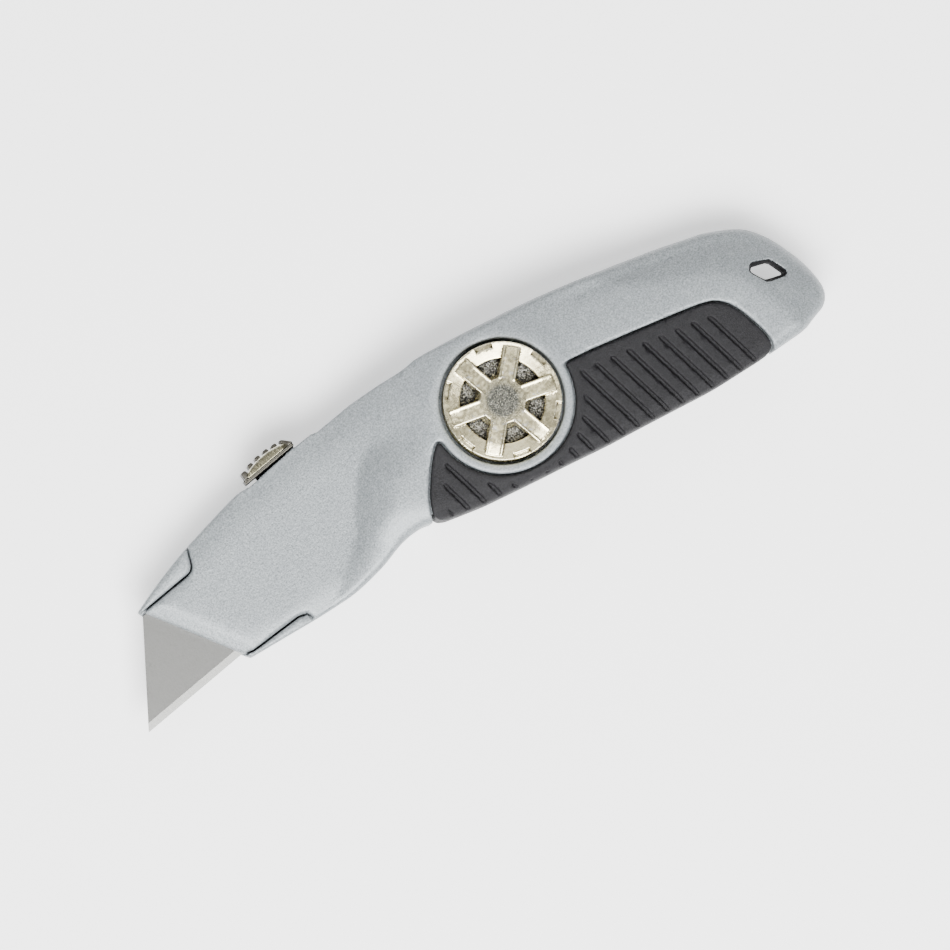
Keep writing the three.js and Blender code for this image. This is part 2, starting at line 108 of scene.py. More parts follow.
# Knob and its socket
KNOB_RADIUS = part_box("lock_knob")[1].x / MM
KNOB_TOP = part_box("lock_knob")[1].z / MM - PARTING_Z
KNOB_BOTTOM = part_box("lock_knob")[0].z / MM - PARTING_Z
SOCKET_RADIUS = 13.0
COLLAR_RADIUS = 14.8
SOCKET_FLOOR = 5.1
SOCKET_UNDERSIDE = 3.1
STUD_HOLE = 3.4
SPOKES = 6
SPOKE_ANGLE = math.radians(100)
SPOKE_HALF_WIDTH = 1.75
SPOKE_BEND = 9.1
SPOKE_SLOPE = 0.12
WINDOW_OUTER = 8.75
PAD_DROP = 0.85
PAD_SLOPE = 0.15
SPOKE_END = 11.3
SPOKE_END_DROP = 0.5
SPOKE_DRAFT = 0.08
HUB_RADIUS = 4.7
HUB_DRAFT = 0.3
RIDGE = 0.12
RIDGE_INSET = 0.25
PLATE_DROP = 3.4
TAB_HALF = 1.8
TAB_INNER = 11.1
TAB_DROP = 1.15
BORE_RADIUS = 3.08
BORE_TOP = 8.5

# Slot, channel and handle hollow
SLOT = (-52, -10)
SLOT_HALF = 1.9
TRACK_HALF = 3.4
TRACK_FLOOR_Y = 19.7
CHANNEL_TOP_Y = 17.2
CHANNEL_HALF = 2.9
BLADE_SLOT_HALF = 0.5
HOLLOW_HALF = 5.7
HOLE_ROUND = 1.1
HOLE_TAPER = 0.8
HOLE_BAND = 0.9
HOLE_WALL = 0.2
# Painted shade on the lanyard hole's walls: how far its occlusion reaches and its darkest colour
HOLE_REACH = 3.5
HOLE_SHADE_COLOUR = (0.03, 0.03, 0.03)
NUT_FACE = 2.5
NUT_HEIGHT = 5.0
NUT_FLAT_HALF = 5.2
BOSS_RADIUS = 7.3
BOSS_GROOVE = (11.6, 12.6)
BOSS_GROOVE_DEPTH = 0.5
DETENTS = 4
TRAVEL = 27.5
FIRST_DETENT_X = -44.5
DETENT_HALF = 1.7
DETENT_DEPTH = 0.9

# Grip
GRIP_DEPTH = 1.9
GRIP_PROUD = 0.15
GRIP_GAP = 0.4
GROOVE_PITCH = 3.3
GROOVE_WIDTH = 0.85
GROOVE_DEPTH = 0.8
GROOVE_LEAN = math.radians(7)
GROOVE_START = (-19.35, -12)
GROOVE_SPAN = (-22.8, 46.5)
GROOVE_MARGIN = 2.7
GROOVE_COLLAR_MARGIN = 2.1
GRIP_SHOULDER = 2.2
GRIP_BELLY_ROUND = 3.0
GRIP_STEP = 0.22

# Slide button. Each rib is its centre along the button and how far it stops short of the button's top
CAP_HALF = 4.2
SKIRT_HALF = 3.2
SKIRT_BASE = 20.65
CAP_BASE = 21.35
RIB_RISE = 0.7
DOME_FALL = 0.033
CAP_BEVEL = 0.28
RIB_HALF = 0.62
RIB_INSET = 0.45
NECK_FOOT_Y = 19.2
STEM_HALF = 3.5
STEM_THICK_HALF = 1.6
STEM_Y = (11.8, 21.1)
LUG_HALF = 1.5
LUG_REACH = 2.5
LUG_Y = (16.3, 17.0)
RIBS = [(-5.3, 0.7), (-3.25, 0.22), (-1.15, 0.0), (1.0, 0.05), (3.05, 0.3)]

# Blade
BLADE_LENGTH = 62.0
BLADE_BACK = 33.3
BLADE_WIDTH = 19.0
BLADE_HALF = 0.3
BLADE_BEVEL = 1.5
BLADE_EDGE_HALF = 0.012
BLADE_NOTCH = 1.4
BLADE_NOTCH_APART = 5
SPARE_BLADES = 5
SPARE_TURN = math.radians(-11.3)
SPARE_CORNER = (-1.3, -13.3)

# Leaf springs
LEAF = 0.35
LEAF_PARTS = 24
MAGAZINE_LEAF_X = (16, 46)
MAGAZINE_LEAF_Y = (-13, -7)

# Stage, in metres
FLOOR_HALF = 3.0
FLOOR_GAP = 0.0001
LIGHT_TARGET = (-0.01, -0.005, 0.01)
CAMERA_DISTANCE = 1.6

# Camera
CAMERA_TARGET = (-13.27, -7.98, 9.5)
CAMERA_SENSOR = 36
CAMERA_LENS = 294
CAMERA_ROLL = math.radians(40)
CAMERA_LEAN = math.radians(4.5)

# Outlines and lines in plan
SPINE = [
    (-84.9, 15.0), (-78.2, 16.8), (-73.2, 17.9), (-68.2, 18.8), (-58.2, 20.1), (-53.4, 20.45),
    (-50.2, 20.05), (-44, 20.3), (-38, 20.4), (-28.2, 20.0), (-18.2, 19.1), (-13.2, 18.4), (-10.7, 18.15),
    (-7.7, 18.15), (-3.2, 17.3), (6.8, 15.1), (21.8, 11.3), (41.8, 4.9), (51.8, 1.2), (56, -0.6),
    (62.0, -4.6), (65.1, -9), (66.8, -15), (67.35, -21), (66.7, -25.2), (64.5, -27.5), (60.8, -28.3),
    (57.5, -28.85), (51.5, -28.35),
]
BELLY = [
    (49.8, -28.2), (43, -27.3), (36, -26.3), (30, -25.0), (20, -22.8), (11.8, -21.05), (4, -19.1),
    (-4, -17.2), (-12, -15.2), (-16, -14.15), (-20, -12.85), (-24, -11.45), (-26.6, -10),
]
NOTCH = [
    (-28.4, -9.3), (-31.4, -9.0), (-35, -9.2), (-40.2, -10.25), (-47.2, -10.8), (-53, -10.3), (-58.2, -9.6),
]
STEP_FOOT = [
    (-70, -16), (-60, -11.5), (-52.5, -9.2), (-46.6, -6.1), (-41.3, -2.7), (-37.9, 1.1), (-34.7, 4.8),
    (-31.5, 8.0), (-27.2, 10.2), (-20.8, 11.2), (-12, 12.6), (-4, 15.6), (3, 21),
]
FACE_EDGE = [
    (20, 22), (34, 3), (44, -4.2), (50, -7.6), (53.9, -12), (55.8, -17), (57.2, -25.5), (58.5, -36),
]


# ---------------------------------------------------------------- distances

class Grid:
    """Sample points one step apart between two corners, as three arrays that broadcast together."""

    def __init__(self, low, high, step):
        self.low = np.array(low, float)
        self.step = step
        counts = np.ceil((np.array(high, float) - self.low) / step).astype(int) + 1
        axes = [self.low[i] + step * np.arange(counts[i]) for i in range(3)]
        self.x = axes[0].reshape(-1, 1, 1)
        self.y = axes[1].reshape(1, -1, 1)
        self.z = axes[2].reshape(1, 1, -1)


def curve(points, per=8):
    """A smooth open line through the points (Catmull-Rom), without its last point."""
    p = np.array(points, float)
    p = np.vstack([2 * p[0] - p[1], p, 2 * p[-1] - p[-2]])
    t = np.linspace(0, 1, per, endpoint=False).reshape(-1, 1)
    parts = []
    for a, b, c, d in zip(p, p[1:], p[2:], p[3:]):
        cubic = 2 * b + (c - a) * t + (2 * a - 5 * b + 4 * c - d) * t**2 + (3 * b - a - 3 * c + d) * t**3
        parts.append(cubic / 2)
    return np.vstack(parts)


def outline(*pieces):
    return np.vstack([np.array(piece, float).reshape(-1, 2) for piece in pieces])


def inside_of(points, grid):
    """Signed distance in plan from a closed outline, negative inside."""
    x, y = grid.x[:, :, 0], grid.y[:, :, 0]
    nearest = np.full(np.broadcast(x, y).shape, 1e9)
    crossed = np.zeros(nearest.shape, bool)
    for (ax, ay), (bx, by) in zip(points, np.roll(points, -1, axis=0)):
        dx, dy = bx - ax, by - ay
        length2 = dx * dx + dy * dy
        if length2 < 1e-12:
            continue
        t = np.clip(((x - ax) * dx + (y - ay) * dy) / length2, 0, 1)
        nearest = np.minimum(nearest, (x - ax - t * dx) ** 2 + (y - ay - t * dy) ** 2)
        if ay != by:
            spans = (ay > y) != (by > y)
            crossed ^= spans & (x < ax + (y - ay) * dx / dy)
    distance = np.sqrt(nearest)
    return np.where(crossed, -distance, distance)[:, :, None]


def meet(a, b, r=0.0):
    """What two solids share, with the edge between them rounded to radius r."""
    reach = np.hypot(np.maximum(a + r, 0), np.maximum(b + r, 0))
    return reach + np.minimum(np.maximum(a + r, b + r), 0) - r


def join(a, b, r=0.0):
    return -meet(-a, -b, r)


def cut(a, b, r=0.0):
    return meet(a, -b, r)


def slab(value, low, high):
    return np.maximum(low - value, value - high)


def box_field(grid, x, y, z):
    return np.maximum(np.maximum(slab(grid.x, *x), slab(grid.y, *y)), slab(grid.z, *z))


def ease(t):
    t = np.clip(t, 0, 1)
    return t * t * (3 - 2 * t)


def side_of(grid, start, end):
    """Distance to the left of the line from start to end."""
    along = np.array(end, float) - np.array(start, float)
    along /= np.hypot(*along)
    return (grid.y - start[1]) * along[0] - (grid.x - start[0]) * along[1]


# ---------------------------------------------------------------- meshes

def mesh_object(name, points, faces):
    mesh = bpy.data.meshes.new(name)
    counts = np.concatenate([np.full(len(f), f.shape[1], np.int32) for f in faces])
    corners = np.concatenate([f.reshape(-1) for f in faces]).astype(np.int32)
    mesh.vertices.add(len(points))
    mesh.vertices.foreach_set("co", np.asarray(points, np.float32).reshape(-1))
    mesh.loops.add(len(corners))
    mesh.loops.foreach_set("vertex_index", corners)
    mesh.polygons.add(len(counts))
    mesh.polygons.foreach_set("loop_start", np.concatenate([[0], np.cumsum(counts)[:-1]]).astype(np.int32))
    mesh.polygons.foreach_set("use_smooth", np.ones(len(counts), bool))
    mesh.update(calc_edges=True)
    mesh.validate()
    piece = bpy.data.objects.new(name, mesh)
    bpy.context.scene.collection.objects.link(piece)
    return piece


def surface(name, field, grid, adaptivity=0.0, mirror=False):
    """The skin of a distance field. mirror turns heights above the parting plane into depths below it."""
    shape = np.broadcast_shapes(field.shape, (grid.x.size, grid.y.size, grid.z.size))
    band = 3 * grid.step
    values = np.clip(np.broadcast_to(field, shape), -band, band).astype(np.float32)
    volume = openvdb.FloatGrid(band)
    volume.copyFromArray(np.ascontiguousarray(values))
    points, triangles, quads = volume.convertToPolygons(isovalue=0.0, adaptivity=adaptivity)
    points = points * grid.step + grid.low
    points[:, 2] = PARTING_Z + (-points[:, 2] if mirror else points[:, 2])
    faces = [f if mirror else f[:, ::-1] for f in (triangles, quads) if len(f)]
    piece = mesh_object(name, points * MM, faces)
    face_outwards(piece)
    return piece


def face_outwards(piece):
    """Turns every face round if the mesh encloses a negative volume."""
    mesh = piece.data
    mesh.calc_loop_triangles()
    co = np.zeros(len(mesh.vertices) * 3)
    mesh.vertices.foreach_get("co", co)
    corner = np.zeros(len(mesh.loop_triangles) * 3, np.int32)
    mesh.loop_triangles.foreach_get("vertices", corner)
    a, b, c = co.reshape(-1, 3)[corner].reshape(-1, 3, 3).transpose(1, 0, 2)
    if np.einsum("ij,ij->i", a, np.cross(b, c)).sum() < 0:
        mesh.flip_normals()


# ---------------------------------------------------------------- outlines

def body_outline():
    return outline(curve(SPINE), curve(BELLY), curve(NOTCH), [(-73.0, -7.1), (-84.5, 13.7)])


def handle_outline():
    """Everything behind the foot of the step that rises from the nose plate."""
    return outline(curve(STEP_FOOT), [(90, 21), (90, -60), (-70, -60)])


def face_outline():
    """The handle's top face, up to the facet round its tail."""
    return outline(curve(FACE_EDGE), [(58, -60), (-150, -60), (-150, 22)])


def upper_lip_outline(gap):
    return outline(
        [(-95, 14.5 - gap), (-71.9, 14.5 - gap)],
        curve([(-71.3, 14.6 - gap), (-70.6 + gap / 2, 15.15 - gap), (-70.1 + gap, 15.9), (-69.5 + gap, 17.2),
               (-68.6 + gap, 19), (-67.5 + gap, 22)]),
        [(-95, 22)],
    )


def lower_lip_outline(gap):
    return outline(
        [(-85, -6.1 + gap), (-73, -6.1 + gap), (-71.6, -6.55 + gap), (-60.6, -7.1 + gap)],
        curve([(-60.2, -7.15 + gap), (-59.2 + gap / 2, -7.6 + gap), (-58.4 + gap, -8.4),
               (-57.8 + gap, -16)]),
        [(-85, -16)],
    )


def grip_outline():
    """The rubber's edge in the metal. It runs on past the belly."""
    return outline(
        curve([(-26.6, -10), (-24.6, -6.2), (-22, -3.1), (-19, -0.1), (-16.6, 1.75)]),
        curve([(-16.2, 2.0), (-15.6, 2.1), (-15, 1.6)]),
        [(-14, -1), (10, -8), (13.5, -5)],
        curve([(14.2, -3.2), (14.6, -2.5), (15.3, -2.35)]),
        [(16.2, -2.5), (21, -3.7), (31, -6.7), (40, -9.5)],
        curve([(44.2, -10.9), (46.8, -12.2), (48.6, -14.2), (49.8, -17), (50.5, -20.5), (50.9, -24),
               (50.7, -26.4), (50, -28.1)]),
        [(49.4, -29.2), (48, -33), (-30, -33), (-26.9, -12)],
    )


def hole_outline():
    return outline([(58.3, -12.2), (61.3, -13.5), (62.2, -16.8), (59.0, -15.5), (57.8, -12.6)])


def hollow_outline():
    return curve([
        (-21, 4), (-19, -6), (-8.2, -12.5), (11.8, -17.4), (31.8, -21.3), (49.8, -24.6), (57, -26.9),
        (62.5, -25.7), (65, -21), (64.6, -15), (62.6, -8.6), (54, -2.3), (41, 2.8), (21, 9.2), (6, 13),
        (-4, 15), (-12, 15.8), (-19, 12),
    ])


def channel_outline(start):
    return outline([
        (start, 7.6), (start, 13.7), (-62, 13.7), (-62, CHANNEL_TOP_Y), (-14, CHANNEL_TOP_Y), (-4, 15.7),
        (-4, 5), (-60, 5),
    ])


def blade_sweep_outline():
    return outline([(-100, -5.45), (-100, 14), (-23.4, 14), (-8.9, -5.45)])


# ---------------------------------------------------------------- the casting

def casting_height(grid, body):
    """Height of the casting's outer face over every point of the plan."""
    x, y = grid.x, grid.y
    radius = np.hypot(x, y)
    crown = CROWN - CROWN_FALL * x**2
    width = STEP_WIDTH + BELLY_STEP_EXTRA * ease((-y - 2) / 7)
    climb = 1 - (1 - np.clip(-inside_of(handle_outline(), grid) / width, 0, 1)) ** 2
    handle = NOSE_HALF + (crown - NOSE_HALF) * climb
    fall = spine_fall(-body) * ease((y - SPINE_LINE[0] - SPINE_LINE[1] * x) / SPINE_FADE + 0.5)
    tail = TAIL_SLOPE * np.maximum(inside_of(face_outline(), grid), 0)
    height = lesser(handle, crown - tail, 0.3) - fall * ease((x + 40) / 30)
    collar = HALF - 0.3 * np.maximum(radius - COLLAR_RADIUS, 0)
    height = soften(-lesser(-height, -collar, 1.2), 0.4, grid.step)
    height = np.where(radius < COLLAR_RADIUS, HALF, np.minimum(height, HALF))
    droop = DROOP * ease((DROOP_WIDTH + body) / DROOP_WIDTH) * ease((-x - 2) / 30)
    chamfer = NOSE_HALF - CHAMFER_FALL + CHAMFER_FALL * nose_inset(grid) / CHAMFER_RUN
    return lesser(height - droop, chamfer, 0.1)


def spine_fall(inset):
    """How far the handle's face drops towards the spine: a long curve, a crease, then a flatter border."""
    curve_in = np.clip(SPINE_CURVE - inset, 0, SPINE_CURVE - CREASE_INSET)
    border = np.clip(CREASE_INSET - inset, 0, CREASE_INSET)
    crease = CREASE_DROP * ease((CREASE_INSET + 0.2 - inset) / 1.4)
    return SPINE_SLOPE / 2 / (SPINE_CURVE - CREASE_INSET) * curve_in**2 + BORDER_SLOPE * border + crease


def nose_inset(grid):
    """Distance behind the front edge of the nose plate."""
    return side_of(grid, NOSE_TOP, NOSE_FOOT)


def lesser(a, b, k):
    """The smaller of two values, blended over k."""
    h = np.clip(0.5 + 0.5 * (b - a) / k, 0, 1)
    return b + (a - b) * h - k * h * (1 - h)


def soften(height, reach, step):
    """A height map blurred over `reach`."""
    n = int(3 * reach / step)
    weights = np.exp(-0.5 * (np.arange(-n, n + 1) * step / reach) ** 2)
    weights /= weights.sum()
    plane = np.pad(height[:, :, 0], n, mode="edge")
    plane = sum(w * plane[i : i + plane.shape[0] - 2 * n] for i, w in enumerate(weights))
    plane = sum(w * plane[:, i : i + plane.shape[1] - 2 * n] for i, w in enumerate(weights))
    return plane[:, :, None]


def slope_of(height, step):
    gx, gy = np.gradient(height[:, :, 0], step)
    return np.sqrt(1 + gx**2 + gy**2)[:, :, None]


def edge_round(grid):
    """Radius of the casting's outer edge: small on the thin nose, larger round the finger notch and tail."""
    x, y = grid.x, grid.y
    notch = ease((x + 58) / 14) * ease((-y - 2) / 6)
    beside_slot = ease((-x - 6) / 3) * ease((x + 56) / 3) * ease((y - 2) / 6)
    larger = NOTCH_ROUND_EXTRA * notch + TAIL_ROUND_EXTRA * ease((x + 5) / 15)
    smaller = SLOT_ROUND_LESS * beside_slot + NOSE_ROUND_LESS * ease((-66 - x) / 4)
    return EDGE_ROUND + larger - smaller


def half_casting(grid, lips):
    """One half of the body. lips is "cut" for the front half and "grown" for the rear one."""
    w = grid.z
    body = inside_of(body_outline(), grid)
    height = casting_height(grid, body)
    skin = (w - height) / slope_of(height, grid.step)
    gap = SLIT if lips == "cut" else 0.0
    lip_zones = join(inside_of(upper_lip_outline(gap), grid), inside_of(lower_lip_outline(gap), grid))
    plan = meet(cut(body, lip_zones, 0.1), -nose_inset(grid), 0.3) if lips == "cut" else body
    rounds = edge_round(grid)
    block = meet(plan, skin, rounds)
    block = meet(block, -w, SEAM_ROUND)
    if lips == "grown":
        lip = meet(meet(body, slab(w, -LIP_RISE, 1.0), 0.7), lip_zones, 0.15)
        block = join(block, lip)
    radius = np.hypot(grid.x, grid.y)
    grip = inside_of(grip_outline(), grid)
    core = np.maximum(body + GRIP_DEPTH, skin + GRIP_DEPTH)
    recess = cut(np.maximum(grip - GRIP_GAP / 2, COLLAR_RADIUS - radius), core, 0.2)
    block = cut(block, recess, 0.12)
    block = cut(block, hole_field(grid), 0.3)
    return block, radius, height


def hole_field(grid):
    """The lanyard hole, a little narrower at the middle of the body than at its faces."""
    return inside_of(hole_outline(), grid) - HOLE_ROUND + HOLE_TAPER * ease((7 - grid.z) / 6)


def cut_inside(block, grid, start, boss, height):
    """Takes the channel, the blade's slot, the spine's slot and the handle's hollow out of a half."""
    w = grid.z
    channel = np.maximum(inside_of(channel_outline(start), grid), w - CHANNEL_HALF)
    sweep = np.maximum(inside_of(blade_sweep_outline(), grid), w - BLADE_SLOT_HALF)
    hollow = np.maximum(inside_of(hollow_outline(), grid), w - np.minimum(HOLLOW_HALF, height - 2 * WALL))
    hollow = cut(hollow, inside_of(hole_outline(), grid) - HOLE_ROUND - WALL, 0.3)
    hollow = cut(hollow, boss, 0.3)
    slot = box_field(grid, SLOT, (15, 30), (-9, SLOT_HALF))
    track = box_field(grid, SLOT, (TRACK_FLOOR_Y, 30), (-9, TRACK_HALF))
    block = cut(block, join(channel, hollow), 0.3)
    block = cut(block, sweep, 0.1)
    block = cut(block, join(slot, track), 0.15)
    for i in range(DETENTS):
        x = FIRST_DETENT_X + i * TRAVEL / (DETENTS - 1)
        rise = (CHANNEL_TOP_Y - 1, CHANNEL_TOP_Y + DETENT_DEPTH)
        notch = box_field(grid, (x - DETENT_HALF, x + DETENT_HALF), rise, (-9, 2.6))
        block = cut(block, notch, 0.1)
    return block


def front_shell():
    grid = Grid((-85.6, -30, -0.6), (68.2, 21.6, 10.1), SHELL_STEP)
    block, radius, height = half_casting(grid, "cut")
    pillar = np.maximum(radius - COLLAR_RADIUS, SOCKET_UNDERSIDE - grid.z)
    block = cut_inside(block, grid, -64, pillar, height)
    socket = np.maximum(radius - SOCKET_RADIUS, SOCKET_FLOOR - grid.z)
    block = cut(block, socket, 0.45)
    block = cut(block, radius - STUD_HOLE, 0.2)
    shell = surface("front_shell_skin", block, grid, 0.03)
    line_hole(shell)
    return shell


def rear_shell():
    grid = Grid((-85.6, -30, -4.2), (68.2, 21.6, 10.1), SHELL_STEP)
    block, radius, height = half_casting(grid, "grown")
    boss = np.maximum(radius - BOSS_RADIUS, NUT_FACE - grid.z)
    block = cut_inside(block, grid, -76, boss, height)
    pocket = slab(grid.z, NUT_FACE - 1, NUT_FACE + NUT_HEIGHT)
    nut = np.maximum(hexagon(grid, NUT_FLAT_HALF), pocket)
    block = cut(block, nut, 0.15)
    ring = np.maximum(slab(radius, *BOSS_GROOVE), HALF - BOSS_GROOVE_DEPTH - grid.z)
    block = cut(block, ring, 0.2)
    shell = surface("rear_shell_skin", block, grid, 0.05, mirror=True)
    line_hole(shell)
    return shell


def hexagon(grid, inner):
    x, y = np.abs(grid.x), np.abs(grid.y)
    return np.maximum(y, x * math.cos(math.radians(30)) + y * 0.5) - inner


def grip_skin(name, mirror):
    grid = Grid((-28.2, -30, -0.4), (52.4, 3.6, 10.2), GRIP_STEP)
    w = grid.z
    body = inside_of(body_outline(), grid)
    height = casting_height(grid, body)
    slope = slope_of(height, grid.step)
    radius = np.hypot(grid.x, grid.y)
    outer = inside_of(grip_outline(), grid) + GRIP_GAP / 2
    plan = meet(outer, COLLAR_RADIUS + GRIP_GAP - radius, 0.3)
    top = np.minimum(height + GRIP_PROUD, HALF)
    skin = (w - top) / slope
    rubber = meet(meet(plan, skin, 0.35), body, GRIP_SHOULDER)
    rubber = meet(rubber, meet(body, skin, GRIP_BELLY_ROUND))
    outside = meet(rubber, -w + 0.05, SEAM_ROUND)
    core = np.maximum(body + GRIP_DEPTH - 0.15, (w - height) / slope + GRIP_DEPTH - 0.15)
    rubber = cut(outside, core, 0.1)
    across, down = grid.x - GROOVE_START[0], grid.y - GROOVE_START[1]
    along = across * math.cos(GROOVE_LEAN) + down * math.sin(GROOVE_LEAN)
    bars = np.abs((along / GROOVE_PITCH + 0.5) % 1 - 0.5) * GROOVE_PITCH - GROOVE_WIDTH / 2
    edges = np.maximum(outer + GROOVE_MARGIN, COLLAR_RADIUS + GROOVE_COLLAR_MARGIN - radius)
    ends = np.maximum(body + 0.5, slab(grid.x, *GROOVE_SPAN))
    grooves = meet(bars, np.maximum(edges, ends), 0.5)
    depth = GROOVE_DEPTH * ease(-body / 1.8)
    rubber = cut(rubber, np.maximum(grooves, -(outside + depth)), 0.16)
    return surface(name, rubber, grid, 0.05, mirror)


# ---------------------------------------------------------------- the knob

def knob_skin():
    reach = KNOB_RADIUS + 0.6
    grid = Grid((-reach, -reach, KNOB_BOTTOM - 0.5), (reach, reach, KNOB_TOP + 0.5), 0.12)
    w = grid.z
    radius = np.hypot(grid.x, grid.y)
    sector = 2 * math.pi / SPOKES
    turn = (np.arctan2(grid.y, grid.x) - SPOKE_ANGLE) / sector
    folded = np.abs((turn + 0.5) % 1 - 0.5) * sector
    across = radius * np.sin(folded)
    middle = radius * np.abs(sector / 2 - folded)
    below = KNOB_TOP - w
    rim = radius - KNOB_RADIUS
    plate = meet(rim, slab(w, KNOB_BOTTOM, KNOB_TOP - PLATE_DROP), 0.3)
    pad_top = below - PAD_DROP + PAD_SLOPE * (radius - WINDOW_OUTER)
    pad = meet(slab(radius, WINDOW_OUTER, KNOB_RADIUS - 0.15), -pad_top, 0.15)
    tab = np.maximum(np.maximum(middle - TAB_HALF, TAB_INNER - radius), below - TAB_DROP)
    pad = cut(pad, tab, 0.05)
    bend = below - SPOKE_SLOPE * np.maximum(radius - SPOKE_BEND, 0) - SPOKE_END_DROP * (radius > SPOKE_END)
    draft = SPOKE_DRAFT * below
    off_ridge = np.abs(across - SPOKE_HALF_WIDTH + RIDGE_INSET)
    ridge = RIDGE * ease(1.6 - off_ridge / 0.2) * (radius > HUB_RADIUS)
    spoke = meet(across - SPOKE_HALF_WIDTH - draft, -bend - ridge, 0.08)
    spoke = meet(spoke, rim + 0.1, 0.15)
    hub = meet(radius * np.cos(sector / 2 - folded) - HUB_RADIUS - HUB_DRAFT * below, -below, 0.12)
    above_plate = KNOB_BOTTOM + 1 - w
    body = join(join(plate, np.maximum(pad, above_plate)), np.maximum(join(spoke, hub), above_plate))
    bore = np.maximum(radius - BORE_RADIUS, w - BORE_TOP)
    return surface("knob_casting", cut(body, bore, 0.1), grid, 0.01)


def bevel(a, b, width):
    """What two solids share, with the edge between them cut off at 45 degrees."""
    return np.maximum(np.maximum(a, b), (a + b + width) * math.sqrt(0.5))


# ---------------------------------------------------------------- the slide button

def slider_skin():
    low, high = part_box("slide_button")
    middle = (low.x + high.x) / 2 / MM
    half = (high.x - low.x) / 2 / MM
    top = high.y / MM
    grid = Grid((middle - half - 0.4, 11.4, -4.8), (middle + half + 0.4, top + 0.4, 4.8), 0.11)
    x, y, z = grid.x - middle, grid.y, np.abs(grid.z)
    run = np.abs(x)
    crown = top - RIB_RISE - DOME_FALL * x**2
    ends = np.maximum(run - half, (run - half + 1.0) * 0.8 + (y - crown + 0.9) * 0.6)
    plan = np.maximum(z - CAP_HALF, (run - half + 2.3) * 0.4 + (z - CAP_HALF) * 0.92)
    head = meet(np.maximum(ends, CAP_BASE - y), bevel(plan, y - crown, CAP_BEVEL), 0.12)
    for centre, peak in RIBS:
        rib = meet(np.abs(x - centre) - RIB_HALF, y - top + peak, 0.35)
        rib = np.maximum(meet(rib, z - CAP_HALF + RIB_INSET, 0.2), crown - 0.6 - y)
        head = join(head, rib, 0.12)
    wedge = meet((x - half + 0.9) * 0.75 + (y - top + 1.3) * 0.66, y - top + 0.6, 0.3)
    wedge = meet(np.maximum(wedge, 4.5 - x), z - CAP_HALF + RIB_INSET, 0.2)
    wedge = np.maximum(wedge, np.maximum(CAP_BASE - y, run - half))
    head = join(head, wedge, 0.12)
    skirt = meet(np.maximum(run - half + 0.1, z - SKIRT_HALF), slab(y, SKIRT_BASE, CAP_BASE + 0.3), 0.12)
    neck = np.maximum(np.maximum(slab(x, -half + 2.6, half - 0.4), z - 1.7), slab(y, NECK_FOOT_Y, CAP_BASE))
    stem = np.maximum(np.maximum(run - STEM_HALF, z - STEM_THICK_HALF), slab(y, *STEM_Y))
    lugs = np.maximum(np.maximum(run - LUG_HALF, z - LUG_REACH), slab(y, *LUG_Y))
    piece = surface("slide_casting", join(join(join(join(head, skirt), neck), stem), lugs), grid, 0.01)
    for face in piece.data.polygons:
        face.material_index = slider_finish(face, (SKIRT_BASE - 0.05) * MM)
    return piece


def slider_finish(face, underside):
    """0 for the sides, 1 for painted shadow on the underside and downward faces, 2 for a painted highlight
    on the upward-sloping rim and 3 for painted shade on the ribs set back behind the rim.
    """
    if face.center.y < underside or face.normal.y < -0.3:
        return 1
    depth = abs(face.center.z - PARTING_Z * MM)
    if 0.25 < face.normal.y < 0.95 and depth > (CAP_HALF - 0.3) * MM:
        return 2
    return 3 if depth < (CAP_HALF - 0.41) * MM else 0


# ---------------------------------------------------------------- blades

def blade_mesh(name):
    """A trapezoid blade in metres, its edge along +X from the origin. Its last faces are ground."""
    slant = (BLADE_LENGTH - BLADE_BACK) / 2 / BLADE_WIDTH

    def level(y):
        return [(slant * y, y), (BLADE_LENGTH - slant * y, y)]

    back = []
    for centre in (BLADE_LENGTH / 2 + BLADE_NOTCH_APART, BLADE_LENGTH / 2 - BLADE_NOTCH_APART):
        back.append((centre + BLADE_NOTCH, BLADE_WIDTH))
        for k in range(9):
            angle = math.pi * k / 8
            depth = 1.0 + BLADE_NOTCH * math.sin(angle)
            back.append((centre + BLADE_NOTCH * math.cos(angle), BLADE_WIDTH - depth))
        back.append((centre - BLADE_NOTCH, BLADE_WIDTH))
    rim = level(BLADE_BEVEL) + [level(BLADE_WIDTH)[1]] + back + [level(BLADE_WIDTH)[0]]
    edge = level(0)
    points = [(x, y, side * BLADE_HALF) for side in (1, -1) for x, y in rim]
    points += [(x, y, side * BLADE_EDGE_HALF) for side in (1, -1) for x, y in edge]
    n = len(rim)
    faces = [list(range(n)), list(range(2 * n - 1, n - 1, -1))]
    faces += [[i, n + i, n + (i + 1) % n, (i + 1) % n] for i in range(1, n)]
    e = 2 * n
    faces += [[e, e + 2, n, 0], [1, n + 1, e + 3, e + 1], [e + 1, e + 3, e + 2, e]]
    faces += [[e, 0, 1, e + 1][::-1], [n, e + 2, e + 3, n + 1][::-1]]
    mesh = bpy.data.meshes.new(name)
    mesh.from_pydata([Vector(p) * MM for p in points], [], faces)
    mesh.validate()
    for face in list(mesh.polygons)[-3:]:
        face.material_index = 1
    return mesh


def blade_piece(name, matrix):
    piece = bpy.data.objects.new(name, blade_mesh(name))
    piece.data.transform(matrix)
    bpy.context.scene.collection.objects.link(piece)
    face_outwards(piece)
    return piece


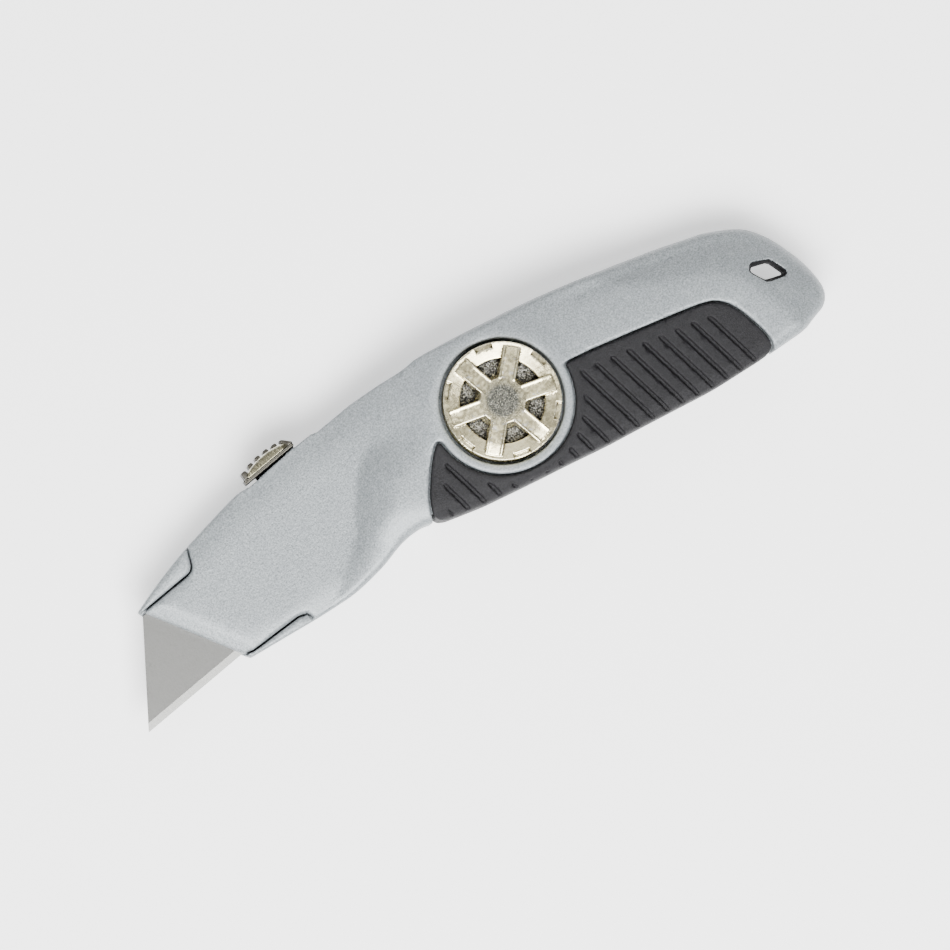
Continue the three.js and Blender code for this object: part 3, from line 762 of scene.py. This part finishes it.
def strip(name, line, thickness, low, high):
    """A bent strip of sheet metal: a line of (x, y) points given a thickness in y and a width along z."""
    ring = [(x, y - thickness / 2) for x, y in line] + [(x, y + thickness / 2) for x, y in reversed(line)]
    n = len(ring)
    points = [(x, y, z) for z in (low, high) for x, y in ring]
    half = len(line)
    faces = [(i, i + 1, n + i + 1, n + i) for i in range(n - 1)] + [(n - 1, 0, n, 2 * n - 1)]
    for i in range(half - 1):
        cap = (i, n - 1 - i, n - 2 - i, i + 1)
        faces += [cap, tuple(n + k for k in reversed(cap))]
    mesh = bpy.data.meshes.new(name)
    mesh.from_pydata([Vector(p) * MM for p in points], [], faces)
    mesh.validate()
    piece = bpy.data.objects.new(name, mesh)
    bpy.context.scene.collection.objects.link(piece)
    return piece


def stem_spring():
    """A bowed leaf under the button's stem. The real leaf flattens as the button goes down; this mesh keeps
    its bow.
    """
    low, high = (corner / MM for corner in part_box("button_spring"))
    middle = (low.x + high.x) / 2
    reach = (high.x - low.x) / 2 - 0.1
    rise = high.y - low.y - LEAF
    line = []
    for k in range(LEAF_PARTS + 1):
        t = 2 * k / LEAF_PARTS - 1
        bow = rise * (0.5 + 0.5 * math.cos(math.pi * t))
        line.append((middle + reach * t, low.y + LEAF / 2 + bow))
    return strip("stem_leaf", line, LEAF, low.z, high.z)


def blade_spring():
    """The bowed leaf that holds the spare blades down, its ends turned up."""
    low, high = (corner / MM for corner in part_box("magazine_spring"))
    start, end = MAGAZINE_LEAF_X
    rise = high.z - low.z - LEAF
    line = []
    for k in range(LEAF_PARTS + 1):
        t = 2 * k / LEAF_PARTS - 1
        line.append((start + (end - start) * k / LEAF_PARTS, low.z + LEAF / 2 + rise * t**2))
    piece = strip("magazine_leaf", line, LEAF, *MAGAZINE_LEAF_Y)
    piece.data.transform(spare_place(0) @ Matrix.Rotation(math.radians(90), 4, "X"))
    face_outwards(piece)
    return piece


def spare_place(height):
    """Where the spare blades lie in the handle, at a height in metres."""
    x, y = SPARE_CORNER
    return Matrix.Translation((x * MM, y * MM, height)) @ Matrix.Rotation(SPARE_TURN, 4, "Z")


# ---------------------------------------------------------------- materials

def new_material(name):
    material = bpy.data.materials.new(name)
    material.use_nodes = True
    tree = material.node_tree
    shader = tree.nodes["Principled BSDF"]
    return material, tree, shader


def add_node(tree, kind, **values):
    node = tree.nodes.new(kind)
    for key, value in values.items():
        if key in node.inputs:
            node.inputs[key].default_value = value
        else:
            setattr(node, key, value)
    return node


def place(tree, stretch=(1, 1, 1)):
    """Positions on the piece in metres, each axis scaled."""
    coordinates = add_node(tree, "ShaderNodeTexCoord")
    mapping = add_node(tree, "ShaderNodeMapping")
    mapping.inputs["Scale"].default_value = stretch
    tree.links.new(coordinates.outputs["Object"], mapping.inputs["Vector"])
    return mapping.outputs["Vector"]


def grain(tree, size_mm, stretch=(1, 1, 1), detail=3.0, rough=0.55):
    """Noise whose features are about size_mm across."""
    noise = add_node(tree, "ShaderNodeTexNoise", Scale=1 / (size_mm * MM), Detail=detail, Roughness=rough)
    tree.links.new(place(tree, stretch), noise.inputs["Vector"])
    return noise.outputs["Fac"]


def shades(tree, factor, low, high, low_at=0.3, high_at=0.7):
    ramp = add_node(tree, "ShaderNodeValToRGB")
    ramp.color_ramp.elements[0].position = low_at
    ramp.color_ramp.elements[0].color = (*low, 1)
    ramp.color_ramp.elements[1].position = high_at
    ramp.color_ramp.elements[1].color = (*high, 1)
    tree.links.new(factor, ramp.inputs["Fac"])
    return ramp.outputs["Color"]


def spread(tree, factor, low, high, low_at=0.3, high_at=0.7):
    mapped = add_node(tree, "ShaderNodeMapRange")
    for key, value in (("From Min", low_at), ("From Max", high_at), ("To Min", low), ("To Max", high)):
        mapped.inputs[key].default_value = value
    tree.links.new(factor, mapped.inputs["Value"])
    return mapped.outputs["Result"]


def bump(tree, shader, height, depth_mm, strength=1.0, after=None):
    node = add_node(tree, "ShaderNodeBump", Strength=strength, Distance=depth_mm * MM)
    tree.links.new(height, node.inputs["Height"])
    if after is not None:
        tree.links.new(after, node.inputs["Normal"])
    tree.links.new(node.outputs["Normal"], shader.inputs["Normal"])
    return node.outputs["Normal"]


def painted_corner_shade(tree, reach_mm, shade_colour, low_at=0.45, high_at=0.85, own_faces_only=False):
    """Painted shade: dark in corners and hollows where nearby faces block the light (ambient occlusion),
    white on open faces.
    """
    occlusion = add_node(tree, "ShaderNodeAmbientOcclusion", Distance=reach_mm * MM, samples=8)
    occlusion.only_local = own_faces_only
    return shades(tree, occlusion.outputs["AO"], shade_colour, (1, 1, 1), low_at, high_at)


def paint_material(name, shade_hole_walls=False):
    """Grey hammer paint. With its last argument set, painted shade darkens the walls of a narrow hole, by
    occlusion from the piece's own faces.
    """
    material, tree, shader = new_material(name)
    speckle = grain(tree, 0.34, detail=3, rough=0.7)
    cloud = grain(tree, 2.5, detail=2)
    colour = shades(tree, speckle, (0.12, 0.136, 0.142), (0.315, 0.34, 0.351), 0.32, 0.68)
    tint = shades(tree, cloud, (0.94, 0.94, 0.95), (1, 1, 1))
    paint = mix(tree, 1.0, colour, tint, "MULTIPLY")
    if shade_hole_walls:
        # Painted shade: occlusion from the piece's own faces darkens the hole's walls
        walls = painted_corner_shade(tree, HOLE_REACH, HOLE_SHADE_COLOUR, 0.68, 0.88, own_faces_only=True)
        paint = mix(tree, 1.0, paint, walls, "MULTIPLY")
    tree.links.new(paint, shader.inputs["Base Color"])
    tree.links.new(spread(tree, speckle, 0.34, 0.48), shader.inputs["Roughness"])
    shader.inputs["Metallic"].default_value = 0.2
    coarse = bump(tree, shader, grain(tree, 0.7, detail=2), 0.05)
    bump(tree, shader, speckle, 0.05, after=coarse)
    return material


def rubber_material():
    material, tree, shader = new_material("grip_rubber")
    fine = grain(tree, 0.25, detail=4, rough=0.65)
    black = shades(tree, fine, (0.001, 0.001, 0.0012), (0.0165, 0.016, 0.0185), 0.38, 0.66)
    tree.links.new(black, shader.inputs["Base Color"])
    tree.links.new(spread(tree, fine, 0.45, 0.65), shader.inputs["Roughness"])
    shader.inputs["Specular IOR Level"].default_value = 0.22
    bump(tree, shader, fine, 0.14)
    return material


def plain_metal(name, colour, roughness, size_mm=0.5, stretch=(1, 1, 1), depth_mm=0.01,
                shade_colour=None, dark=0.82):
    """Metal with fine marks. dark scales the colour of the marks; a shade colour, when given, darkens its
    corners as painted shade.
    """
    material, tree, shader = new_material(name)
    marks = grain(tree, size_mm, stretch, detail=5)
    low = tuple(dark * c for c in colour)
    face = shades(tree, marks, low, colour)
    # Painted shade in the corners, by occlusion
    if shade_colour is not None:
        face = mix(tree, 1.0, face, painted_corner_shade(tree, 0.6, shade_colour), "MULTIPLY")
    tree.links.new(face, shader.inputs["Base Color"])
    tree.links.new(spread(tree, marks, roughness * 0.8, roughness * 1.25), shader.inputs["Roughness"])
    shader.inputs["Metallic"].default_value = 1.0
    bump(tree, shader, marks, depth_mm)
    return material


def plastic(name, colour, roughness, gloss=0.5):
    material, tree, shader = new_material(name)
    texture = grain(tree, 0.35, detail=4)
    low = tuple(0.85 * c for c in colour)
    tree.links.new(shades(tree, texture, low, colour), shader.inputs["Base Color"])
    tree.links.new(spread(tree, texture, roughness * 0.9, roughness * 1.1), shader.inputs["Roughness"])
    shader.inputs["Specular IOR Level"].default_value = gloss
    bump(tree, shader, texture, 0.015)
    return material


def maths(tree, operation, a, b):
    node = add_node(tree, "ShaderNodeMath", operation=operation)
    for i, value in enumerate((a, b)):
        if isinstance(value, (int, float)):
            node.inputs[i].default_value = value
        else:
            tree.links.new(value, node.inputs[i])
    return node.outputs[0]


def knob_material():
    """Warm plated casting: bright faces, dark sand-cast floors in the windows and a speckled hub, with a
    painted highlight on sharp edges and painted shade in the corners.
    """
    material, tree, shader = new_material("knob_plating")
    coordinates = add_node(tree, "ShaderNodeTexCoord")
    parts = add_node(tree, "ShaderNodeSeparateXYZ")
    tree.links.new(coordinates.outputs["Object"], parts.inputs[0])
    x, y, z = parts.outputs
    squares = maths(tree, "ADD", maths(tree, "MULTIPLY", x, x), maths(tree, "MULTIPLY", y, y))
    radius = maths(tree, "SQRT", squares, 0)
    floor_z = (PARTING_Z + KNOB_TOP - 3.1) * MM
    low = maths(tree, "LESS_THAN", z, floor_z)
    near = maths(tree, "LESS_THAN", radius, (WINDOW_OUTER + 0.1) * MM)
    window = maths(tree, "MULTIPLY", low, near)
    hub = spread(tree, radius, 1.0, 0.0, 3.0 * MM, 5.4 * MM)
    sand = grain(tree, 0.22, detail=4, rough=0.7)
    smooth = grain(tree, 0.8, detail=4)
    bright = shades(tree, smooth, (0.68, 0.61, 0.38), (0.88, 0.8, 0.51))
    speckled = shades(tree, sand, (0.03, 0.033, 0.03), (0.55, 0.53, 0.43), 0.47, 0.65)
    dark = shades(tree, sand, (0.01, 0.01, 0.01), (0.6, 0.6, 0.58), 0.5, 0.66)
    face = mix(tree, window, mix(tree, hub, bright, speckled), dark)
    # Painted highlight: sharp convex edges, found by pointiness, turn near white
    pointiness = add_node(tree, "ShaderNodeNewGeometry").outputs["Pointiness"]
    painted_edge_highlight = spread(tree, pointiness, 0.0, 1.0, 0.52, 0.58)
    face = mix(tree, painted_edge_highlight, face, shades(tree, smooth, (0.95, 0.9, 0.75), (1, 0.97, 0.85)))
    # Painted shade: occlusion darkens corners and the feet of steps
    knob_corner_shade = painted_corner_shade(tree, 0.8, (0.08, 0.065, 0.035), 0.55, 0.88)
    tree.links.new(mix(tree, 1.0, face, knob_corner_shade, "MULTIPLY"), shader.inputs["Base Color"])
    rough = maths(tree, "ADD", maths(tree, "MULTIPLY", window, 0.25), spread(tree, smooth, 0.2, 0.32))
    tree.links.new(rough, shader.inputs["Roughness"])
    shader.inputs["Metallic"].default_value = 1.0
    weight = maths(tree, "ADD", window, maths(tree, "MULTIPLY", hub, 0.35))
    relief = maths(tree, "MULTIPLY", sand, weight)
    first = bump(tree, shader, smooth, 0.02)
    bump(tree, shader, relief, 0.12, after=first)
    return material


def mix(tree, factor, a, b, blend="MIX"):
    node = add_node(tree, "ShaderNodeMix", data_type="RGBA", blend_type=blend)
    if isinstance(factor, float):
        node.inputs[0].default_value = factor
    else:
        tree.links.new(factor, node.inputs[0])
    tree.links.new(a, node.inputs[6])
    tree.links.new(b, node.inputs[7])
    return node.outputs[2]


# ---------------------------------------------------------------- assembly

def dress(piece, body, slot, materials, *nodes):
    """Puts a piece on its body, in its material, in place of its CAD nodes."""
    indices = [face.material_index for face in piece.data.polygons]
    piece.data.materials.clear()
    for material in materials:
        piece.data.materials.append(material)
    piece.data.polygons.foreach_set("material_index", indices)
    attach(piece, body)
    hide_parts(*nodes)


def line_hole(shell):
    """Gives a band round the lanyard hole the second material, and the walls of the hole the third."""
    corners = hole_outline()
    for face in shell.data.polygons:
        beyond = distance_to(corners, face.center.x / MM, face.center.y / MM) - HOLE_ROUND
        # The band takes the paint with painted shade on the hole's walls
        if beyond < HOLE_BAND:
            face.material_index = 1
        if beyond < HOLE_WALL and abs(face.normal.z) < 0.45:
            face.material_index = 2


def distance_to(points, x, y):
    """Distance from a point to the nearest side of a closed outline."""
    nearest = 1e9
    for (ax, ay), (bx, by) in zip(points, np.roll(points, -1, axis=0)):
        t = ((x - ax) * (bx - ax) + (y - ay) * (by - ay)) / ((bx - ax) ** 2 + (by - ay) ** 2)
        t = min(max(t, 0), 1)
        nearest = min(nearest, math.hypot(x - ax - t * (bx - ax), y - ay - t * (by - ay)))
    return nearest


def build_castings():
    paint = paint_material("grey_hammer_paint")
    # The same paint with painted shade darkening the lanyard hole's walls
    hole_paint = paint_material("grey_paint_with_painted_hole_shade", shade_hole_walls=True)
    rubber = rubber_material()
    dress(front_shell(), "cover", "painted_casting", [paint, hole_paint, rubber], "front_shell")
    dress(rear_shell(), "rear_body", "painted_casting", [paint, hole_paint, rubber], "rear_shell")
    dress(grip_skin("front_rubber", False), "cover", "grip_rubber", [rubber], "front_grip")
    dress(grip_skin("rear_rubber", True), "rear_body", "grip_rubber", [rubber], "rear_grip")


def build_slider():
    # Each of the button's metals gets painted shade in its corners
    sides = plain_metal("slide_plating", (0.3, 0.28, 0.19), 0.28, 0.35, (3, 0.4, 1), 0.03,
                        shade_colour=(0.03, 0.03, 0.025), dark=0.3)
    # Painted shadow: a near-black material on the button's underside and downward faces
    underside = plastic("slide_underside_painted_shadow", (0.006, 0.006, 0.006), 0.9, 0.1)
    # Painted highlight: a pale material on the upward-sloping rim of the sides
    painted_edge_highlight = plain_metal("slide_rim_painted_highlight", (0.75, 0.72, 0.58), 0.25, shade_colour=(0.2, 0.19, 0.15))
    # Painted shade: a dark material on the ribs, which sit back behind the rim
    shaded_ribs = plain_metal("slide_ribs_painted_shade", (0.09, 0.085, 0.072), 0.35, 0.3, shade_colour=(0.02, 0.02, 0.02))
    dress(slider_skin(), "button", "slide_metal", [sides, underside, painted_edge_highlight, shaded_ribs], "slide_button")


def build_blades():
    steel = plain_metal("blade_steel", (0.16, 0.16, 0.153), 0.42, 0.18, (2, 0.5, 1), 0.0006)
    ground = plain_metal("blade_ground", (0.13, 0.13, 0.124), 0.35, 0.2, (2, 0.2, 1), 0.001)
    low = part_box("blade")[0]
    blade = blade_piece("cutting_blade", Matrix.Translation((low.x, low.y, PARTING_Z * MM)))
    dress(blade, "carriage", "blade_steel", [steel, ground], "blade")
    for i in range(1, SPARE_BLADES + 1):
        low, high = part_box(f"spare_blade_{i}")
        spare = blade_piece(f"spare_{i}", spare_place((low.z + high.z) / 2))
        dress(spare, "rear_body", "blade_steel", [steel, ground], f"spare_blade_{i}")


def build_springs(steel):
    leaf = stem_spring()
    dress(leaf, "carriage", "hardware_steel", [steel], "button_spring")
    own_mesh(leaf)
    dress(blade_spring(), "rear_body", "hardware_steel", [steel], "magazine_spring")


def finish_hidden_parts(steel):
    """Gives materials to the CAD nodes that keep their own meshes."""
    nylon = plastic("carrier_nylon", (0.03, 0.03, 0.032), 0.5)
    acetal = plastic("magazine_acetal", (0.55, 0.38, 0.06), 0.45)
    plain = {
        steel: ("knob_screw", "knob_washer", "retaining_clip", "captive_nut", "blade_magnet"),
        nylon: ("blade_carrier",),
        acetal: ("blade_magazine",),
    }
    for material, names in plain.items():
        for name in names:
            node = frame["nodes"][name]
            node.data.materials.clear()
            node.data.materials.append(material)


def build_knife():
    build_castings()
    dress(knob_skin(), "knob", "knob_metal", [knob_material()], "lock_knob")
    build_slider()
    build_blades()
    steel = plain_metal("zinc_plate", (0.5, 0.5, 0.48), 0.32)
    build_springs(steel)
    finish_hidden_parts(steel)


# ---------------------------------------------------------------- stage

def floor():
    mesh = bpy.data.meshes.new("floor")
    corners = [(-FLOOR_HALF, -FLOOR_HALF, 0), (FLOOR_HALF, -FLOOR_HALF, 0)]
    corners += [(FLOOR_HALF, FLOOR_HALF, 0), (-FLOOR_HALF, FLOOR_HALF, 0)]
    mesh.from_pydata(corners, [], [(0, 1, 2, 3)])
    piece = bpy.data.objects.new("floor", mesh)
    piece.location.z = -FLOOR_GAP
    bpy.context.scene.collection.objects.link(piece)
    material, _, shader = new_material("floor_white")
    shader.inputs["Base Color"].default_value = (0.93, 0.93, 0.93, 1)
    shader.inputs["Roughness"].default_value = 0.9
    shader.inputs["Emission Color"].default_value = (1, 1, 1, 1)
    shader.inputs["Emission Strength"].default_value = 0.8
    mesh.materials.append(material)


def area_light(name, place_at, size, power):
    light = bpy.data.lights.new(name, "AREA")
    light.shape = "RECTANGLE"
    light.size, light.size_y = size
    light.energy = power
    lamp = bpy.data.objects.new(name, light)
    lamp.location = place_at
    lamp.rotation_euler = (Vector(LIGHT_TARGET) - Vector(place_at)).to_track_quat("-Z", "Y").to_euler()
    bpy.context.scene.collection.objects.link(lamp)


def camera():
    """Nearly straight down, the knife's length rising to the right, leaned a little to the blade."""
    data = bpy.data.cameras.new("camera")
    data.sensor_width = CAMERA_SENSOR
    data.lens = CAMERA_LENS
    rig = bpy.data.objects.new("camera", data)
    back = Vector((-math.sin(CAMERA_LEAN), 0, math.cos(CAMERA_LEAN)))
    right = Vector((math.cos(CAMERA_ROLL), -math.sin(CAMERA_ROLL), 0))
    right = (right - back * right.dot(back)).normalized()
    up = back.cross(right)
    turn = Matrix((right, up, back)).transposed().to_4x4()
    rig.matrix_world = Matrix.Translation(Vector(CAMERA_TARGET) * MM + back * CAMERA_DISTANCE) @ turn
    bpy.context.scene.collection.objects.link(rig)
    bpy.context.scene.camera = rig


def world():
    surroundings = bpy.data.worlds.new("studio")
    surroundings.use_nodes = True
    background = surroundings.node_tree.nodes["Background"]
    background.inputs["Color"].default_value = (1, 1, 1, 1)
    background.inputs["Strength"].default_value = 0.3
    bpy.context.scene.world = surroundings


camera()
build_knife()
floor()
world()
area_light("key", (-0.55, -0.6, 1.1), (1.1, 0.7), 39)
area_light("fill", (0.45, 0.55, 1.0), (0.8, 0.8), 4)
area_light("top", (-0.25, -0.5, 1.25), (0.9, 0.6), 32)
